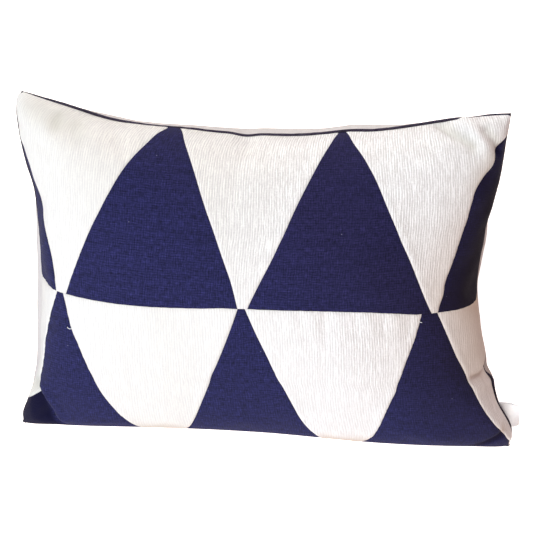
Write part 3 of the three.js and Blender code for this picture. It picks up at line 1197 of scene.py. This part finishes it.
creamCloth = makeCream()
navyCloth = makeNavy()
backCotton = makePlain("paleBackCotton", crease="backPaintedShade")
pipingCloth = makePlain("navyPipingCloth", bias=42)
tapeCloth = makePlain("wovenTape")
print("cloths ready")

cover = buildCover()
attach(cover, "root")
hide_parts("cushion")
print("cover filled:", len(cover.data.polygons), "faces")


# A piece bent from a grid: bend gives each grid point its place and its place on the flat cloth
def gridPiece(name, columns, rows, material, bend):
    bpy.ops.mesh.primitive_grid_add(x_subdivisions=columns, y_subdivisions=rows, size=1)
    piece = bpy.context.object
    piece.name = name
    mesh = piece.data
    mesh.name = name
    bent = [bend(vertex.co.x + 0.5, vertex.co.y + 0.5) for vertex in mesh.vertices]
    mesh.vertices.foreach_set("co", (np.array([place for place, _ in bent]) * mm).ravel())
    loops = np.zeros(len(mesh.loops), np.int32)
    mesh.loops.foreach_get("vertex_index", loops)
    flat = np.array([flat for _, flat in bent])[loops]
    mesh.uv_layers[0].name = "cloth"
    mesh.uv_layers["cloth"].uv.foreach_set("vector", (flat * mm).astype(np.float32).ravel())
    mesh.materials.clear()
    mesh.materials.append(material)
    activate(piece)
    return piece


def closeTube():
    bpy.ops.object.mode_set(mode="EDIT")
    bpy.ops.mesh.select_all(action="SELECT")
    bpy.ops.mesh.remove_doubles(threshold=0.00001)
    bpy.ops.mesh.normals_make_consistent(inside=False)
    bpy.ops.object.mode_set(mode="OBJECT")
    bpy.ops.object.shade_smooth()


# Piping: a covered cord that follows the whole seam
piping = {
    "radius": 1.1,
    # how far the cord stands out of the seam, along each side
    "bottom": {"at": [-1, -0.8, 0, 0.8, 1], "out": [-0.8, 0.2, 0.4, 0.2, -0.8]},
    "right": {
        "at": [-1, -0.88, -0.8, -0.7, -0.62, -0.55, -0.5, -0.45, 0, 0.5, 0.8, 1],
        "out": [-1.3, -0.9, 0.1, -0.1, 0.1, 0.9, 1.3, -0.6, -0.8, -0.3, -0.5, -1.0],
    },
    "top": {
        "at": [-1, -0.93, -0.82, -0.6, -0.45, -0.25, 0, 0.45, 0.78, 0.85, 0.92, 1],
        "out": [-1.1, -0.4, 0.8, 0.8, -0.3, 0.4, 0.6, 0.9, 0.7, -0.6, 0.0, -0.5],
    },
    "left": {
        "at": [-1, -0.2, 0.1, 0.4, 0.55, 0.7, 0.85, 0.93, 1],
        "out": [-1.3, -1.3, -1.0, 0.2, 0.3, 0.0, -0.4, -0.9, -1.2],
    },
    "sides": 10,
    "gap": 2.4,
    "bump": 0.09,
    "bumpLength": 5,
    # how far in from the seam the way from back to face is read
    "inset": 6,
}


# The four sides of the seam on the flat cloth, in turn round the cover
def seamSides():
    u = evenRun(-halfWidth, halfWidth, piping["gap"])
    v = evenRun(-halfHeight, halfHeight, piping["gap"])
    return [
        (pairs(u, -halfHeight), piping["bottom"], u / halfWidth),
        (pairs(halfWidth, v), piping["right"], v / halfHeight),
        (pairs(u[::-1], halfHeight), piping["top"], u[::-1] / halfWidth),
        (pairs(-halfWidth, v[::-1]), piping["left"], v[::-1] / halfHeight),
    ]


def seamPlaces():
    places = []
    inset = piping["inset"]
    for side, offset, at in seamSides():
        x, y = faceMap.between(side)
        place = smoothPoint(x, y, 1)
        place[:, 2] = place[:, 2] + seamHeight
        inner = side * [1 - inset / halfWidth, 1 - inset / halfHeight]
        faceX, faceY = faceMap.between(inner)
        backX, backY = backMap.between(inner)
        upward = smoothPoint(faceX, faceY, 1) - smoothPoint(backX, backY, -1)
        along = np.gradient(place, axis=0)
        out = unit(np.cross(along, upward))
        lift = unit(np.cross(out, along))
        places.append((place, out, lift, smoothTable(offset["at"], offset["out"], at)))
    return places


def loopRings():
    rings = []
    places = seamPlaces()
    for n, (place, out, lift, offset) in enumerate(places):
        rings.extend(zip(place + out * offset[:, None], out, lift))
        _, nextOut, nextLift, nextOffset = places[(n + 1) % 4]
        for turn in (0.2, 0.4, 0.6, 0.8):
            corner = unit(out[-1] * (1 - turn) + nextOut[0] * turn)
            rise = lift[-1] * (1 - turn) + nextLift[0] * turn
            rise = unit(rise - corner * (rise @ corner))
            standOff = offset[-1] * (1 - turn) + nextOffset[0] * turn
            rings.append((place[-1] + corner * standOff, corner, rise))
    return rings


def buildPiping():
    rings = loopRings()
    sides = piping["sides"]
    centres = np.array([place for place, _, _ in rings])
    lengths = np.linalg.norm(np.roll(centres, -1, 0) - centres, axis=1)
    before = np.concatenate([[0], lengths.cumsum()])

    def bend(across, along):
        n = round(across * len(rings))
        i = n % len(rings)
        j = round(along * sides)
        _, out, lift = rings[i]
        turn = 2 * math.pi * j / sides
        wrinkle = noise.noise(Vector((before[i] / piping["bumpLength"], j % sides * 0.4, 2.0)))
        radius = piping["radius"] + piping["bump"] * 2 * wrinkle
        spoke = -out * math.cos(turn) + lift * math.sin(turn)
        return centres[i] + spoke * radius, (before[n], turn * piping["radius"])

    piece = gridPiece("seam_piping", len(rings), sides, pipingCloth, bend)
    closeTube()
    return piece


seamPiping = buildPiping()
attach(seamPiping, "root")
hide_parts("edge_piping")
print("piping sewn in:", len(seamPiping.data.polygons), "faces")


# Label: a tape folded once and caught in the right side seam
label = {
    "low": -0.862,
    "high": -0.7,
    "reach": 16,
    "width": 24,
    "standOff": 0.8,
    # its middle bows straight out of the seam and a little towards its end
    "bow": 0.2,
    "lean": 0.3,
    # the two layers stand this far apart at the seam, and further in the middle
    "slit": 0.3,
    "belly": 0.25,
    "thickness": 0.45,
    "highEnd": (16.1, -2.0, 1.2),
    "lowEnd": (5.0, -0.4, -7.5),
    "columns": 26,
    "rows": 18,
}


def labelPlace(across, along):
    y = np.array([label["low"] + (label["high"] - label["low"]) * along])
    x = np.array([1.0])
    step = 0.01
    here = smoothPoint(x, y, 1)[0]
    run = smoothPoint(x, y + step, 1)[0] - smoothPoint(x, y - step, 1)[0]
    inset = 0.985
    backToFace = smoothPoint(x * inset, y, 1)[0] - smoothPoint(x * inset, y, -1)[0]
    out = unit(np.cross(run, backToFace))
    base = here + out * label["standOff"] + [0, 0, seamHeight]
    depth = abs(across)
    end = base + np.array(label["lowEnd"]) * (1 - along) + np.array(label["highEnd"]) * along
    middle = base + out * label["reach"] * label["bow"] + (end - base) * label["lean"]
    place = base * (1 - depth) ** 2 + middle * 2 * depth * (1 - depth) + end * depth ** 2
    tangent = (middle - base) * 2 * (1 - depth) + (end - middle) * 2 * depth
    thick = unit(np.cross(run, tangent))
    apart = label["slit"] + label["belly"] * math.sin(math.pi * depth) * (0.6 + 0.4 * along)
    closing = math.sqrt(max(1 - depth ** 12, 0))
    side = 1 if across >= 0 else -1
    return place + thick * side * apart * closing


def bendLabel(ride, along):
    # the first layer runs from the seam to the fold in the middle, the other back again
    ride = ride * 2 - 1
    depth = math.sin((1 - abs(ride)) * math.pi / 2)
    side = 1 if ride <= 0 else -1
    return labelPlace(depth * side, along), (ride * label["reach"], along * label["width"])


def buildLabel():
    piece = gridPiece("folded_label", label["columns"], label["rows"], tapeCloth, bendLabel)
    solidify = piece.modifiers.new("tapeThickness", "SOLIDIFY")
    solidify.thickness = label["thickness"] * mm
    solidify.offset = 0
    bpy.ops.object.modifier_apply(modifier=solidify.name)
    bpy.ops.object.shade_smooth_by_angle(angle=math.radians(40))
    return piece


sideLabel = buildLabel()
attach(sideLabel, "root")
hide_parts("side_label")
print("label folded:", len(sideLabel.data.polygons), "faces")


# Loose ends of white thread on the face: each a path on the flat cloth, with its height over it
threadEnds = {
    "radius": 0.22,
    "steps": 10,
    "sides": 6,
    "paths": [
        [(-141.5, -27.5, 0.1), (-138.8, -29.4, 0.9), (-136.4, -27.6, 0.2)],
        [(126.6, -9.0, 0.1), (128, -10.4, 0.9), (129.4, -10.2, 0.2)],
        [(35.3, -95.6, 0.1), (36.6, -97.3, 0.7), (36.2, -99, 0.1)],
    ],
}


def addThreadEnd(name, path):
    steps, radius = threadEnds["steps"], threadEnds["radius"]
    start, middle, end = (np.array(p) for p in path)
    t = np.linspace(0, 1, steps + 1)[:, None]
    route = start * (1 - t) ** 2 + middle * 2 * t * (1 - t) + end * t ** 2
    cloth = route[:, :2]
    up = outwardAt(*faceMap.between(cloth), 1)
    centres = placeCloth(cloth, faceMap, faceRise)[0] + up * (route[:, 2:] + radius)
    aside = unit(np.cross(up, np.gradient(centres, axis=0)))

    def bend(across, along):
        i = round(across * steps)
        turn = 2 * math.pi * along
        reach = radius * math.sqrt(1 - (2 * i / steps - 1) ** 8)
        spoke = up[i] * math.cos(turn) + aside[i] * math.sin(turn)
        return centres[i] + spoke * reach, (i * 0.5, turn * radius)

    piece = gridPiece(name, steps, threadEnds["sides"], tapeCloth, bend)
    closeTube()
    return piece


for number, path in enumerate(threadEnds["paths"]):
    threadEnd = addThreadEnd("thread_end_" + str(number + 1), path)
    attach(threadEnd, "root")
print("thread ends laid")


# Floor and light
studio = {
    "floorSize": 8,
    "floorColour": (0.86, 0.76, 0.7, 1),
    "floorGlow": 0.95,
    "worldColour": (1.0, 0.96, 0.94, 1),
    "worldStrength": 0.05,
    "lights": [
        # name, place, power, colour
        ("windowLight", (-1.5, 1.5, 1.7), 32, (0.96, 1.0, 0.95)),
        ("skyLight", (0.3, 2.2, 1.4), 35, (1.0, 0.95, 0.98)),
        ("ceilingLight", (-1.1, 0.2, 2.5), 24, (0.95, 0.97, 0.97)),
        ("warmFront", (-0.3, -2.2, 1.4), 58, (1.0, 0.95, 0.88)),
        ("coolFront", (-1.5, -1.5, 1.7), 20, (0.4, 0.6, 1.0)),
        ("warmSide", (1.9, -0.6, 0.6), 8, (1.0, 0.6, 0.55)),
    ],
    "lightSize": 1.6,
}


def buildStudio():
    bpy.ops.mesh.primitive_plane_add(size=studio["floorSize"])
    floor = bpy.context.object
    floor.name = "studio_floor"
    material = bpy.data.materials.new("paleFloor")
    material.use_nodes = True
    tree = material.node_tree
    # only the camera sees the floor glow, so that it doesn't light the cushion from below
    seen = addNode(tree, "ShaderNodeLightPath", {})
    feed(tree.nodes["Principled BSDF"], {
        "Base Color": studio["floorColour"],
        "Roughness": 0.9,
        "Specular IOR Level": 0.1,
        "Emission Color": (1, 1, 1, 1),
        "Emission Strength": Wire(tree, seen.outputs["Is Camera Ray"]) * studio["floorGlow"],
    })
    floor.data.materials.append(material)
    world = bpy.data.worlds.new("studioWorld")
    bpy.context.scene.world = world
    world.use_nodes = True
    background = world.node_tree.nodes["Background"]
    feed(background, {"Color": studio["worldColour"], "Strength": studio["worldStrength"]})
    aim = Vector((0, 0, 0.06))
    for name, place, power, colour in studio["lights"]:
        turn = (aim - Vector(place)).to_track_quat("-Z", "Y").to_euler()
        bpy.ops.object.light_add(type="AREA", location=place, rotation=turn)
        light = bpy.context.object
        light.name = name
        light.data.size = studio["lightSize"]
        light.data.energy = power
        light.data.color = colour
    bpy.context.scene.view_settings.view_transform = "Standard"


buildStudio()
print("studio lit")
